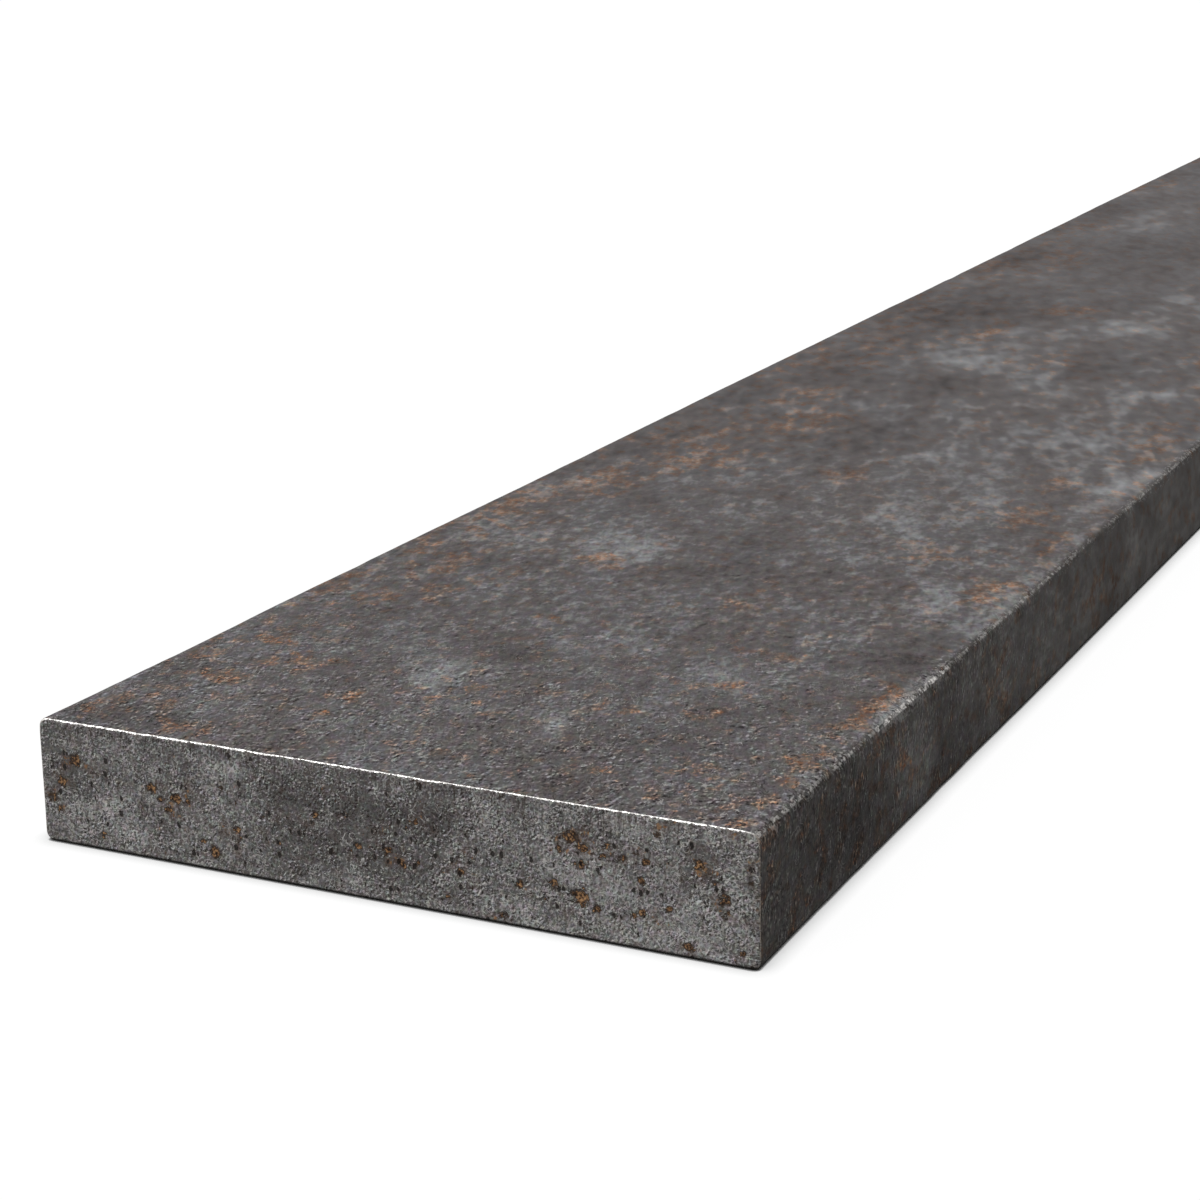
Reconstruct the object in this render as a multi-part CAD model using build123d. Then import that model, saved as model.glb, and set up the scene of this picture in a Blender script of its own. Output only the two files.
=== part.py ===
"""Hot-rolled steel flat bar, cut to a stock length.

The bar lies on a wide face. X runs across its width, Y along its length and Z
up through its thickness. The origin is on the underside, in the middle of the
bar's width and length. Everything is in millimetres.
"""

import os

from build123d import *

# The stock size that the bar is ordered by.
width = 60.0
thickness = 10.0
length = 1000.0

# The rolls leave the four long corners of the section rounded.
rolled_corner_radius = 0.8

# Each cut end has its burr dressed off, which breaks the edge all the way round.
dressed_edge_radius = 0.3


def rolled_section():
    """The outline that the finishing rolls leave, resting on the XY plane."""
    with BuildSketch(Plane.XZ) as section:
        with Locations((0, thickness / 2)):
            RectangleRounded(width, thickness, rolled_corner_radius)
    return section.sketch


def bar_as_cut():
    """The section carried along the bar, with a square cut at each end."""
    return extrude(rolled_section(), amount=length / 2, both=True)


def dress_cut_ends(bar):
    """Breaks the sharp edge that the cut leaves round both end faces."""
    end_faces = bar.faces().filter_by(Axis.Y)
    return fillet(end_faces.edges(), dressed_edge_radius)


def flat_bar():
    return dress_cut_ends(bar_as_cut())


os.makedirs("parts", exist_ok=True)
export_step(flat_bar(), "parts/flat_bar.step")
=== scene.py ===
import functools
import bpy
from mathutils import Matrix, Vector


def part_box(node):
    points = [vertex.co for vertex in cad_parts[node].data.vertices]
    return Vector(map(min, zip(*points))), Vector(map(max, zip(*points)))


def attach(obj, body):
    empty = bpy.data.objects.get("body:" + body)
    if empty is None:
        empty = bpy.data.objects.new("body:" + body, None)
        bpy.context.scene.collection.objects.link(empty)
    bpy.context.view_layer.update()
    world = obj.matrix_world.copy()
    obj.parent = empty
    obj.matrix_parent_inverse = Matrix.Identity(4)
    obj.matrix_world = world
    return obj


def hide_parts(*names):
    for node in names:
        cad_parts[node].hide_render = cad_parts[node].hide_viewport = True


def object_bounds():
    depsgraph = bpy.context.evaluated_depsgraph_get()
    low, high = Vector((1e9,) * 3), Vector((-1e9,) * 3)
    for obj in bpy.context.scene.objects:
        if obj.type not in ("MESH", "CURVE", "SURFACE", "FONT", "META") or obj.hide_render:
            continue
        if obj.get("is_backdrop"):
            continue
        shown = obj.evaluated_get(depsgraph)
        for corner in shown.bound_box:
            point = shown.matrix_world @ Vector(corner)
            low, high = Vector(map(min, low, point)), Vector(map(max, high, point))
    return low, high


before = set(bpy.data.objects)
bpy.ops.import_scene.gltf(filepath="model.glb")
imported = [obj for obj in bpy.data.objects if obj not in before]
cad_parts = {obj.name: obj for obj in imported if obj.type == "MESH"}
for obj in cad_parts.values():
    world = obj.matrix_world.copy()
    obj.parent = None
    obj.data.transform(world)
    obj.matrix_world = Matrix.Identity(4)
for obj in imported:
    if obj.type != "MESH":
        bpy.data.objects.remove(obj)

import inspect
import math
from types import SimpleNamespace

import bmesh
import bpy
import numpy as np
from mathutils import Matrix, Vector

# The CAD box, read before any piece is made.
cad_low, cad_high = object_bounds()

MM = 0.001

# The bar as the frame gives it: its middle, and its width, length and thickness.
low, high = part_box("flat_bar")
MIDDLE = (Vector(low) + Vector(high)) / 2
WIDTH, LENGTH, THICKNESS = Vector(high) - Vector(low)
NEAR_END = -LENGTH / 2

# Rounding of the rolled corners and of the dressed edge round each cut end.
ROLLED_RADIUS = 0.8 * MM
DRESSED_RADIUS = 0.3 * MM
ROLLED_SEGMENTS = 6
DRESSED_SEGMENTS = 3

# ------------------------------------------------------------------ mesh

# Lines that frame each flat face, measured from its rounded corners inwards.
GUARD_LINES = (0.6 * MM, 1.5 * MM)
WIDE_STRIPS = 40
NARROW_STRIPS = 7

# How far from the near end each stretch of the bar reaches, its step lengthways, and
# the cuts that its rounded corners get in each of those steps.
STRETCHES = (
    (90 * MM, 1.4 * MM, 2),
    (180 * MM, 2.0 * MM, 2),
    (300 * MM, 2.8 * MM, 2),
    (500 * MM, 3.6 * MM, 1),
    (LENGTH, 5.4 * MM, 1),
)

# Lengthways edges longer than this are still to be cut: on the whole bar, then in its corners.
UNCUT = 10 * MM
UNCUT_IN_CORNER = 0.9 * MM

# The corners take their finer cuts within this distance of the edge of the section.
CORNER_BAND = ROLLED_RADIUS + 1.6 * MM

# The top is divided once more this far from the near end.
FINE_TOP = 90 * MM

# Cuts in each facet of the near and the far cut end.
NEAR_END_CUTS = 4
FAR_END_CUTS = 1

# From this share of its length on, a step or a normal counts as running along an axis.
SQUARE_ON = 0.999

# Places closer together than this count as the same.
SLACK = 0.1 * MM


def deselect_objects():
    bpy.ops.object.select_all(action="DESELECT")


def pick(bar, kind, wanted):
    """In edit mode, selects only the edges or faces that wanted() agrees to."""
    bpy.ops.mesh.select_mode(type=kind)
    bpy.ops.mesh.select_all(action="DESELECT")
    mesh = bmesh.from_edit_mesh(bar.data)
    for part in mesh.edges if kind == "EDGE" else mesh.faces:
        if wanted(part):
            part.select_set(True)
    bmesh.update_edit_mesh(bar.data)


def runs_along(edge, axis, shortest=0.0):
    """Whether an edge is parallel to an axis and longer than a given length."""
    step = edge.verts[1].co - edge.verts[0].co
    return step.length > shortest and abs(step[axis]) > SQUARE_ON * step.length


def any_face(face):
    return True


def on_cut_end(face):
    return abs(face.normal.y) > SQUARE_ON


def round_edges(bar, wanted, radius, segments):
    pick(bar, "EDGE", wanted)
    bpy.ops.mesh.bevel(offset=radius, segments=segments, affect="EDGES", clamp_overlap=False)


def round_long_corners(bar):
    round_edges(bar, lambda edge: runs_along(edge, 1), ROLLED_RADIUS, ROLLED_SEGMENTS)


def dress_ends(bar):
    """Rounds the outline of both cut ends."""

    def outlines_end(edge):
        return abs(edge.verts[0].co.y + edge.verts[1].co.y) > LENGTH - SLACK

    round_edges(bar, outlines_end, DRESSED_RADIUS, DRESSED_SEGMENTS)


def slice_faces(bar, wanted, place, normal):
    """Cuts the picked faces along a plane and leaves the cut in the mesh."""
    pick(bar, "FACE", wanted)
    bpy.ops.mesh.bisect(plane_co=place, plane_no=normal)


def divide(bar, kind, wanted, cuts):
    pick(bar, kind, wanted)
    bpy.ops.mesh.subdivide(number_cuts=cuts)


def strip_faces(bar):
    """Divides the flat faces lengthways: guard lines by the corners, even strips between."""
    for side in (-1, 1):
        x = side * (WIDTH / 2 - ROLLED_RADIUS)
        z = THICKNESS / 2 + side * (THICKNESS / 2 - ROLLED_RADIUS)
        slice_faces(bar, on_cut_end, (x, 0, 0), (1, 0, 0))
        slice_faces(bar, on_cut_end, (0, 0, z), (0, 0, 1))
        for inset in GUARD_LINES:
            slice_faces(bar, any_face, (x - side * inset, 0, 0), (1, 0, 0))
            slice_faces(bar, any_face, (0, 0, z - side * inset), (0, 0, 1))
    divide(bar, "EDGE", lambda edge: runs_along(edge, 0, WIDTH / 2), WIDE_STRIPS - 1)
    divide(bar, "EDGE", lambda edge: runs_along(edge, 2, THICKNESS / 3), NARROW_STRIPS - 1)


def by_long_corner(edge):
    point = edge.verts[0].co
    in_from_side = WIDTH / 2 - abs(point.x)
    in_from_face = THICKNESS / 2 - abs(point.z - THICKNESS / 2)
    return in_from_side < CORNER_BAND and in_from_face < CORNER_BAND


def cross_cut(bar):
    """Divides the bar along its length, finest by the near end and in the rounded corners."""

    def uncut(edge, shortest=UNCUT):
        """Whether an edge lies lengthways, between start and stop, and is still to be cut."""
        ends = sorted(vert.co.y for vert in edge.verts)
        within = start - SLACK < ends[0] and ends[1] < stop + SLACK
        return within and runs_along(edge, 1, shortest)

    def uncut_in_corner(edge):
        return by_long_corner(edge) and uncut(edge, UNCUT_IN_CORNER)

    for reach, _, _ in STRETCHES[:-1]:
        slice_faces(bar, any_face, (0, NEAR_END + reach, 0), (0, 1, 0))
    start = NEAR_END
    for reach, step, corner_cuts in STRETCHES:
        stop = NEAR_END + reach
        divide(bar, "EDGE", uncut, round((stop - start) / step) - 1)
        divide(bar, "EDGE", uncut_in_corner, corner_cuts)
        start = stop


def refine_near_top(bar):
    def wanted(face):
        centre = face.calc_center_median()
        clear_of_corner = abs(centre.x) < WIDTH / 2 - CORNER_BAND
        return face.normal.z > SQUARE_ON and centre.y < NEAR_END + FINE_TOP and clear_of_corner

    divide(bar, "FACE", wanted, 1)


def refine_cut_ends(bar):
    for side, cuts in ((-1, NEAR_END_CUTS), (1, FAR_END_CUTS)):
        divide(bar, "FACE", lambda face: on_cut_end(face) and face.normal.y * side > 0, cuts)


# ------------------------------------------------------------------ marks, by place

# Places are in millimetres: across from the middle, along from the near end, up from the floor.

# Worn stretches of the long corners: side (right is 1) and level (top is 1), from, to, width
# of the band, strength. The band fades out over a little more than its width.
WORN_CORNERS = (
    (1, 1, -4, 14, 1.1, 0.55), (1, 1, 12, 26, 1.3, 0.5), (1, 1, 21, 42, 2.2, 0.95),
    (1, 1, 32, 86, 1, 0.5), (1, 1, 80, 130, 1.4, 0.45), (1, 1, 150, 235, 1, 0.45),
    (1, 1, 260, 330, 1.8, 0.7), (1, 1, 380, 560, 1.2, 0.5), (1, 1, 600, 680, 1.8, 0.55),
    (1, 1, 740, 960, 1.2, 0.55), (-1, 1, -4, 30, 0.9, 0.25), (-1, 1, 60, 150, 1, 0.15),
    (-1, 1, 190, 260, 1.4, 0.2), (-1, 1, 330, 520, 1.1, 0.2), (-1, 1, 590, 640, 1.6, 0.35),
    (-1, 1, 700, 1004, 1.2, 0.45), (1, -1, -4, 60, 0.8, 0.3), (1, -1, 230, 420, 1.2, 0.5),
    (1, -1, 560, 900, 1, 0.4), (-1, -1, 20, 160, 0.9, 0.4), (-1, -1, 300, 380, 1.6, 0.45),
    (-1, -1, 520, 940, 1, 0.4),
)
WORN_BAND_FADE = 0.6

# Knocks on the edges and shallow dents in the faces: place, radius, depth.
KNOCKS = (
    (30, 3, 10, 1.3, 0.3), (30, 8.5, 10, 1, 0.22), (29.6, 14.5, 10, 1.6, 0.25),
    (30, 24, 9.6, 2.4, 0.4), (30, 29.5, 9.8, 1.8, 0.36), (30, 34, 9.6, 2.2, 0.3),
    (30, 40, 9.8, 1.8, 0.2), (30, 57, 10, 2.4, 0.28), (30, 96, 10, 3.4, 0.4),
    (30, 142, 10, 3, 0.3), (30, 226, 9.8, 5, 0.45), (30, 318, 10, 6, 0.5), (30, 640, 10, 8, 0.6),
    (-30, 46, 10, 3, 0.04), (-30, 215, 9.8, 5, 0.06), (-30, 612, 10, 8, 0.6),
    (-30, 345, 0.2, 6, 0.45), (30, 470, 0.2, 7, 0.45), (-21, 0, 10, 0.9, 0.12),
    (-9.5, 0, 10, 0.7, 0.1), (4, 0, 10, 0.8, 0.12), (18.6, 0, 10, 0.7, 0.1), (30, 0, 10, 1, 0.22),
    (30, 0, 3.4, 0.8, 0.12), (-12, 33, 10, 7, 0.1), (9, 58, 10, 9, 0.12), (-4, 120, 10, 14, 0.14),
    (14, 210, 10, 18, 0.16), (30, 37, 3, 3.5, 0.14),
)

# Rust spots on the near end, each with its pit: across, up, radius, strength, depth.
END_SPOTS = (
    (-26.6, 6.9, 0.9, 0.8, 0.05), (-28, 5, 0.8, 0.75, 0.05), (-29, 3.6, 0.7, 0.85, 0.08),
    (-28.3, 2.7, 0.5, 0.6, 0.05), (-24.8, 5.9, 0.5, 0.55, 0.05), (-19.6, 5.7, 0.7, 0.95, 0.1),
    (-18.8, 4.9, 0.5, 0.8, 0.08), (-17.4, 5.1, 0.8, 1, 0.12), (-16.4, 5, 0.4, 0.7, 0.08),
    (-18.2, 4.2, 0.5, 0.75, 0.08), (-14.1, 1.5, 0.8, 1, 0.14), (-15.2, 2.2, 0.5, 0.7, 0.06),
    (-13.4, 6.6, 0.4, 0.5, 0.06), (-12.1, 3.5, 0.5, 0.75, 0.1), (-11.9, 2.8, 0.4, 0.65, 0.1),
    (-12.3, 5.6, 0.5, 0.5, 0.04), (-5.1, 5.8, 0.5, 0.85, 0.08), (-5.6, 6.5, 0.3, 0.6, 0.06),
    (-3.2, 6.1, 0.3, 0.6, 0.06), (-1.5, 4, 0.4, 0.85, 0.1), (-2.2, 3.4, 0.3, 0.6, 0.08),
    (0.9, 3.9, 0.6, 0.85, 0.08), (2, 3.1, 0.6, 0.85, 0.1), (3.3, 3.4, 0.4, 0.75, 0.1),
    (3.3, 6.6, 0.4, 0.7, 0.06), (2.4, 5.9, 0.3, 0.6, 0.06), (5.9, 1.2, 0.5, 0.8, 0.12),
    (6.7, 4.3, 0.5, 0.85, 0.1), (6.8, 3.3, 0.5, 0.8, 0.1), (6, 4.9, 0.3, 0.65, 0.06),
    (11.6, 3.2, 0.5, 0.85, 0.14), (13.6, 2.5, 0.4, 0.75, 0.12), (14.2, 3.6, 0.7, 0.95, 0.16),
    (16.3, 3, 1.1, 1, 0.26), (16.5, 5.4, 0.8, 0.95, 0.2), (15.7, 7.2, 0.9, 0.9, 0.1),
    (16.6, 6.7, 0.5, 0.75, 0.08), (14.8, 6.4, 0.5, 0.8, 0.08), (18.3, 7.1, 0.5, 0.8, 0.1),
    (18.1, 6.3, 0.4, 0.75, 0.1), (19.7, 6.4, 0.6, 0.9, 0.14), (20.7, 6.9, 0.4, 0.8, 0.14),
    (21.5, 6.4, 0.5, 0.9, 0.16), (21, 5, 0.5, 0.85, 0.18), (17.6, 2.3, 0.5, 0.7, 0.1),
    (21, 2.7, 0.5, 0.9, 0.16), (20.3, 2.4, 0.4, 0.75, 0.12), (23.2, 3.2, 0.5, 0.9, 0.16),
    (25.4, 6.9, 0.6, 0.75, 0.08), (26.6, 5.8, 0.4, 0.7, 0.1), (27.3, 4.6, 0.8, 0.7, 0.08),
    (27.4, 3.7, 0.6, 0.75, 0.14), (29.3, 6.2, 0.4, 0.7, 0.05), (28.6, 1, 0.4, 0.6, 0.06),
    (24.6, 0.8, 0.6, 0.75, 0.06), (10.2, 0.7, 0.6, 0.7, 0.05), (-24.3, 1.1, 0.6, 0.55, 0.04),
    (-9.6, 4.9, 0.3, 0.6, 0.08), (-8.2, 3.1, 0.3, 0.55, 0.08), (22.3, 8.6, 0.4, 0.55, 0.05),
    (12.2, 8.3, 0.3, 0.5, 0.05),
)

# Pin-hole clusters in the near end: across, up, radius, strength.
PIN_CLUSTERS = (
    (22.6, 5.9, 2.4, 1), (18, 5.7, 1.2, 1), (15.5, 3.8, 4, 0.6), (26, 5, 3, 0.55),
    (20.5, 2.6, 3, 0.7), (10.5, 2.5, 2.6, 0.65), (0, 4.2, 5, 0.45), (-9, 4.2, 4, 0.45),
    (-23, 4.3, 2, 0.6), (-27, 7.5, 2.5, 0.4), (6, 2.6, 3, 0.5),
)

# What lies at most this far from the near end is on it.
ON_END = 0.2

# Faces that carry marks: the axis that each looks along, and where on that axis it lies.
RIGHT_SIDE, NEAR_FACE, TOP = (0, 30), (1, 0), (2, 10)

# Rust blooms: a face, how deep the marks reach in from it, and for each mark its place on
# the two other axes, its reach along them, and its strength.
BLOOMS = (
    (TOP, 2, (
        # Along the left edge.
        (-24.5, 7, 3, 2, 0.85), (-18.5, 2.6, 3.5, 2.2, 0.85), (-27, 3.5, 3, 3, 0.7),
        (-22, 14, 4, 2.5, 0.85), (-19, 20, 4, 3, 0.85), (-24, 24, 3.5, 2.5, 0.8),
        (-28, 20, 2.5, 5, 0.75), (-10.8, 13.8, 2.2, 1.6, 0.95), (-10.2, 10, 2.5, 1.6, 0.6),
        (-28.3, 40, 2.2, 9, 0.8), (-23.5, 38, 4, 3, 0.7), (-19.5, 41, 4, 4, 0.7),
        (-22.5, 50, 3.5, 6, 0.8), (-27, 54, 3, 6, 0.6), (-15.5, 47, 3, 3, 0.55),
        (-9.5, 56, 3.5, 3, 0.6), (-27.5, 70, 4.4, 12.5, 0.64), (-22.5, 83, 5.6, 10, 0.64),
        (-18, 96, 7.5, 11.2, 0.6), (-24, 104, 6.2, 10, 0.48), (-13.5, 117, 6.2, 10, 0.56),
        (-19, 128, 6.2, 11.2, 0.48), (-27, 150, 5, 22.5, 0.36), (-19.5, 235, 6.2, 20, 0.4),
        (-25, 60, 7.5, 62.5, 0.24), (-20, 110, 11.2, 32.5, 0.28), (-22, 170, 10, 50, 0.32),
        (-26, 235, 6.2, 50, 0.28),
        # In the middle.
        (7.8, 47.5, 2.6, 2.6, 0.66), (8.8, 53, 2, 3, 0.66), (3, 44.5, 2, 1.8, 0.47),
        (-5.5, 39, 1.6, 3, 0.62), (-3.5, 31, 3, 2, 0.27), (14.5, 36, 4.5, 1.8, 0.62),
        (17.2, 36.5, 1.6, 2, 0.74), (14.5, 43, 4, 3, 0.35), (15.5, 27.5, 5, 3, 0.47),
        (11, 19, 4, 1.4, 0.62), (16, 21, 3, 2, 0.55), (16, 6, 2.4, 2.2, 0.58), (22, 9, 4, 3, 0.35),
        (2, 6, 4, 2, 0.31), (-3, 17, 5, 3, 0.31), (24, 3, 5, 2, 0.47), (17.5, 70, 4.5, 5, 0.47),
        (21, 85, 5, 7, 0.51), (21.5, 98, 4, 6, 0.51), (24.2, 126, 3.5, 8, 0.47),
        (0, 96, 4, 6, 0.47), (2, 158, 7, 9, 0.34),
    )),
    (TOP, 1.5, (
        # Along the right edge.
        (28, 3, 1.2, 4.5, 0.95), (28.1, 9, 1, 4, 0.8), (27, 14, 2, 2, 0.9),
        (28.6, 98, 1.8, 14, 0.25), (26.5, 60, 3, 6, 0.75), (27, 74, 2, 9, 0.45),
        (26, 118, 3.5, 14, 0.45),
    )),
    (TOP, 1.2, (
        (28, 16, 1, 4, 0.9), (28, 22, 0.9, 5, 0.8), (27.7, 27, 1.3, 11, 1.35),
        (28, 15, 1.1, 10, 0.6),
    )),
    (RIGHT_SIDE, 1, (
        (4.5, 6, 1.6, 1.6, 0.6), (2, 8.6, 2.5, 1.6, 0.6), (11.7, 5.2, 1.4, 1.4, 0.75),
        (14.4, 3.3, 1.2, 1.2, 0.65), (19.5, 4.2, 2, 1.6, 0.55), (27, 5.4, 3, 1.4, 0.6),
        (31.5, 5.5, 2, 1.2, 0.65), (39, 5.8, 2, 1.4, 0.55), (24, 8.4, 6, 1.8, 0.55),
        (52, 4.6, 6, 5, 0.35), (84, 4, 9, 5, 0.4), (40, 0.6, 30, 1.2, 0.5),
    )),
    (NEAR_FACE, 1, (
        (-27, 6, 2.8, 2.4, 0.6), (-28.6, 3.4, 1.6, 1.8, 0.6), (-17.8, 5.2, 2.8, 1.7, 0.7),
        (-13.4, 2.4, 2.4, 2, 0.55), (-5, 5.6, 1.6, 1.6, 0.5), (1.4, 3.6, 2.6, 1.7, 0.5),
        (6.6, 3.8, 1.5, 2.4, 0.6), (15.8, 7, 2.6, 1.5, 0.85), (19.6, 6.7, 3, 1.5, 0.65),
        (16.4, 4, 2, 2.2, 0.5), (21.2, 2.7, 2, 1.4, 0.4), (25.6, 6.5, 1.9, 1.7, 0.6),
        (27.4, 4.2, 1.6, 1.6, 0.55), (29.3, 5, 0.8, 4.5, 0.6), (24.5, 0.7, 4, 0.9, 0.5),
        (9.6, 0.6, 3, 0.9, 0.45), (22.4, 8.9, 2, 1, 0.5),
    )),
)

# Patches where the scale is paler and cooler (+) or darker and warmer (-), in the same way.
TONE_PATCHES = (
    (TOP, 2, (
        (-3.2, 27.8, 2.9, 2.6, -1), (-9, 30.5, 2.5, 2.5, -0.45), (-6.5, 22, 5.5, 4.5, 0.75),
        (-9, 17.5, 4, 3.5, 0.5), (7, 13, 2.6, 6.5, 0.8), (-13, 8, 7, 4, 0.25),
        (-24, 2.5, 8, 3.5, -0.75), (-27.5, 14, 3, 5, -0.35), (18, 13, 8, 6, -0.5),
        (19, 22.5, 4, 3, -0.55), (14, 3, 9, 3, -0.35), (15, 29, 6, 4, 0.35), (3, 33, 6, 3, 0.35),
        (29, 22, 1.6, 14, 0.8), (29, 5, 1.6, 6, 0.6), (25.5, 38, 6, 4, -0.7),
        (27.5, 44, 4, 5, -0.6), (22.5, 56, 4, 7, 0.35), (-18.5, 52, 6, 6, -0.5),
        (-20, 34.5, 4, 3, -0.45), (3, 57, 6, 5, -0.4), (-16, 61, 13, 9.5, 0.45),
        (-6.5, 60.5, 4.5, 6.8, 0.6), (1, 65, 3.9, 12.2, -0.55), (24, 57, 5.5, 14, 0.35),
        (28.6, 57, 2.4, 17, 0.8), (28, 98, 4, 20, 0.75), (-16, 76, 4.5, 10.8, -0.35),
        (-26.5, 79, 2.6, 8.1, 0.5), (10, 82, 12, 15, 0.45), (22, 78, 5.2, 8.1, -0.3),
        (-25, 96, 5.2, 12.2, -0.5), (-4.5, 112, 7.8, 14.9, -0.65), (5, 108, 4.9, 22.7, 0.34),
        (20, 109, 8.8, 24, 0.34), (13, 100, 3.9, 8.1, 0.35), (-25, 124, 6.5, 12.2, -0.45),
        (14, 139, 18.8, 24, 0.34), (25.5, 131, 3.9, 10.8, -0.55), (-6, 141, 5.2, 10.8, -0.85),
        (-21, 147, 10.4, 16.2, -0.45), (-8, 155, 9, 13, 0.54), (1.5, 158, 6.5, 11.4, 0.27),
        (9, 156, 5.9, 10.8, -0.75), (-4, 172, 8.1, 13, 0.37), (6.5, 186, 8.1, 14.6, 0.68),
        (7, 206, 4.9, 11.4, 0.51), (1, 199, 4.5, 10.8, -0.35), (-18.5, 188, 13, 24.3, -0.65),
        (-21, 215, 13, 9.7, 0.31), (-25, 233, 5.2, 13.5, -0.7), (-8, 246, 11.7, 24.3, -0.25),
        (-16.5, 284, 9.8, 27.6, 0.54), (-24, 292, 6.5, 21.6, -0.35), (-24.5, 314, 8.1, 14.6, 0.41),
        (14, 260, 19.5, 42.1, 0.31), (22, 330, 14, 24, -0.45),
    )),
    (RIGHT_SIDE, 2, (
        (6, 6, 6, 4, -0.3), (18, 3.8, 8, 3.6, -0.6), (30.5, 5, 5.5, 4.5, 0.85),
        (38, 6, 2.5, 5, -0.35), (60, 5, 16, 6, 0.25), (87, 5, 4, 6, -0.5), (94, 6, 3.5, 5, 0.5),
    )),
    (NEAR_FACE, 1, (
        (-13.3, 8.3, 3.4, 0.9, 0.9), (-23.6, 4, 2.4, 1.6, 0.6), (-21.5, 1.7, 2.4, 1.1, 0.65),
        (-25.5, 8.3, 3, 1.4, 0.3), (-27, 5.4, 3, 2.2, -0.45), (-8.3, 7.4, 2.6, 1.8, -0.7),
        (0, 7, 8, 1.5, -0.55), (-5.4, 2.9, 2.6, 2.2, -0.5), (-1, 5, 12, 6, -0.4),
        (-1.5, 1.2, 4, 1.2, 0.25), (5, 6.9, 3.5, 2, -0.5), (10.6, 1.5, 2.6, 0.9, 0.85),
        (9.3, 6.8, 2.4, 2, 0.3), (17.5, 4.4, 4.5, 1.6, 0.35), (16.5, 7.8, 3, 1.3, -0.6),
        (25.5, 6.2, 2.2, 2, -0.35), (21, 8.9, 5, 1, 0.35), (22.5, 1.2, 5, 1.2, 0.35),
        (20, 4.5, 16, 8, 0.3), (-22, 5, 9, 7, 0.15),
    )),
    (RIGHT_SIDE, 1, (
        (16, 5, 9, 5, -0.45), (35.4, 1.6, 1.6, 1.6, -0.9), (37.4, 3, 1.5, 1.4, -0.8),
        (32, 3, 4, 3, 0.35), (70, 5, 30, 8, 0.45), (160, 5, 90, 8, 0.6),
    )),
)

# How much nearer to its centre a bloom or patch ends than its reach says, as a factor.
MARK_TIGHTNESS = 0.8

# Blooms on the top and the underside beyond the stretch that shows most, spread by a seeded
# draw. Shares are of the bar's length, and of its half width for those by the edges.
FAR_BLOOMS = 110
FAR_BLOOM_SEED = 7
FAR_BLOOMS_START = 0.14
EDGE_BLOOM_SHARE = 0.5
EDGE_BLOOMS_START = 0.75
FAR_BLOOM_RADII = ((2, 7), (4, 18), (2, 6))
FAR_BLOOM_STRENGTHS = (0.3, 0.8)

# Weights up to this stay out of the vertex groups.
FAINTEST = 1e-4


def falloff(distance):
    """1 at the centre, easing to 0 where the distance reaches 1."""
    t = np.clip(1 - distance, 0, 1)
    return t * t * (3 - 2 * t)


def places_mm(bar):
    """Every vertex of the bar: across, along from the near end, and up, in millimetres."""
    places = np.empty(3 * len(bar.data.vertices))
    bar.data.vertices.foreach_get("co", places)
    return (places.reshape(-1, 3) - (0, NEAR_END, 0)) / MM


def corner_wear(places):
    """How worn each vertex is by the long corners near it, from 0 to 1."""
    worn = np.zeros(len(places))
    for side, level, start, stop, band, strength in WORN_CORNERS:
        across = side * WIDTH / 2 / MM - places[:, 0]
        up = (THICKNESS / MM if level > 0 else 0) - places[:, 2]
        near_corner = falloff(np.hypot(across, up) / (band + WORN_BAND_FADE))
        middle, reach = (start + stop) / 2, (stop - start) / 2
        within = falloff(np.clip(np.abs(places[:, 1] - middle) / reach, 0, 1) ** 3)
        worn = np.maximum(worn, strength * near_corner * within)
    return worn


def knock_depth(places):
    depth = np.zeros(len(places))
    for *centre, radius, deep in KNOCKS:
        distance = np.linalg.norm(places - centre, axis=1) / radius
        depth = np.maximum(depth, deep * falloff(distance))
    return depth


def end_marks(places, marks):
    """The strongest of the round marks on the near end, at each vertex."""
    found = np.zeros(len(places))
    on_end = places[:, 1] < ON_END
    for across, up, radius, strength in marks:
        distance = np.hypot(places[:, 0] - across, places[:, 2] - up) / radius
        found = np.maximum(found, strength * falloff(distance) * on_end)
    return found


def laid_out(groups):
    """The centre, radii and strength of each mark, from rows grouped by face and depth."""
    for (axis, level), depth, rows in groups:
        for place, other_place, reach, other_reach, strength in rows:
            centre, radii = [place, other_place], [reach, other_reach]
            centre.insert(axis, level)
            radii.insert(axis, depth)
            yield centre, radii, strength


def far_blooms():
    draw = np.random.default_rng(FAR_BLOOM_SEED)
    for _ in range(FAR_BLOOMS):
        along = draw.uniform(FAR_BLOOMS_START, 1.0) * LENGTH / MM
        across = draw.uniform(-1, 1)
        if draw.random() < EDGE_BLOOM_SHARE:
            across = math.copysign(draw.uniform(EDGE_BLOOMS_START, 1.0), across)
        up = draw.choice((0, 1)) * THICKNESS / MM
        radii = [draw.uniform(*reach) for reach in FAR_BLOOM_RADII]
        centre = (across * WIDTH / 2 / MM, along, up)
        yield centre, radii, draw.uniform(*FAR_BLOOM_STRENGTHS)


def spread_marks(places, marks):
    """How strong each mark is at every vertex."""
    for centre, radii, strength in marks:
        distance = np.linalg.norm((places - centre) / radii, axis=1)
        yield strength * falloff(distance * MARK_TIGHTNESS)


def rust_bloom(places):
    marks = (*laid_out(BLOOMS), *far_blooms())
    return functools.reduce(np.maximum, spread_marks(places, marks))


def tone_patches(places):
    return np.clip(sum(spread_marks(places, laid_out(TONE_PATCHES))), -1, 1)


def keep_as_attribute(bar, name, values):
    made = bar.data.attributes.new(name, "FLOAT", "POINT")
    made.data.foreach_set("value", values)


def keep_as_group(bar, name, values):
    group = bar.vertex_groups.new(name=name)
    for index in np.flatnonzero(values > FAINTEST):
        group.add([int(index)], float(values[index]), "REPLACE")


# ------------------------------------------------------------------ relief

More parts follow.
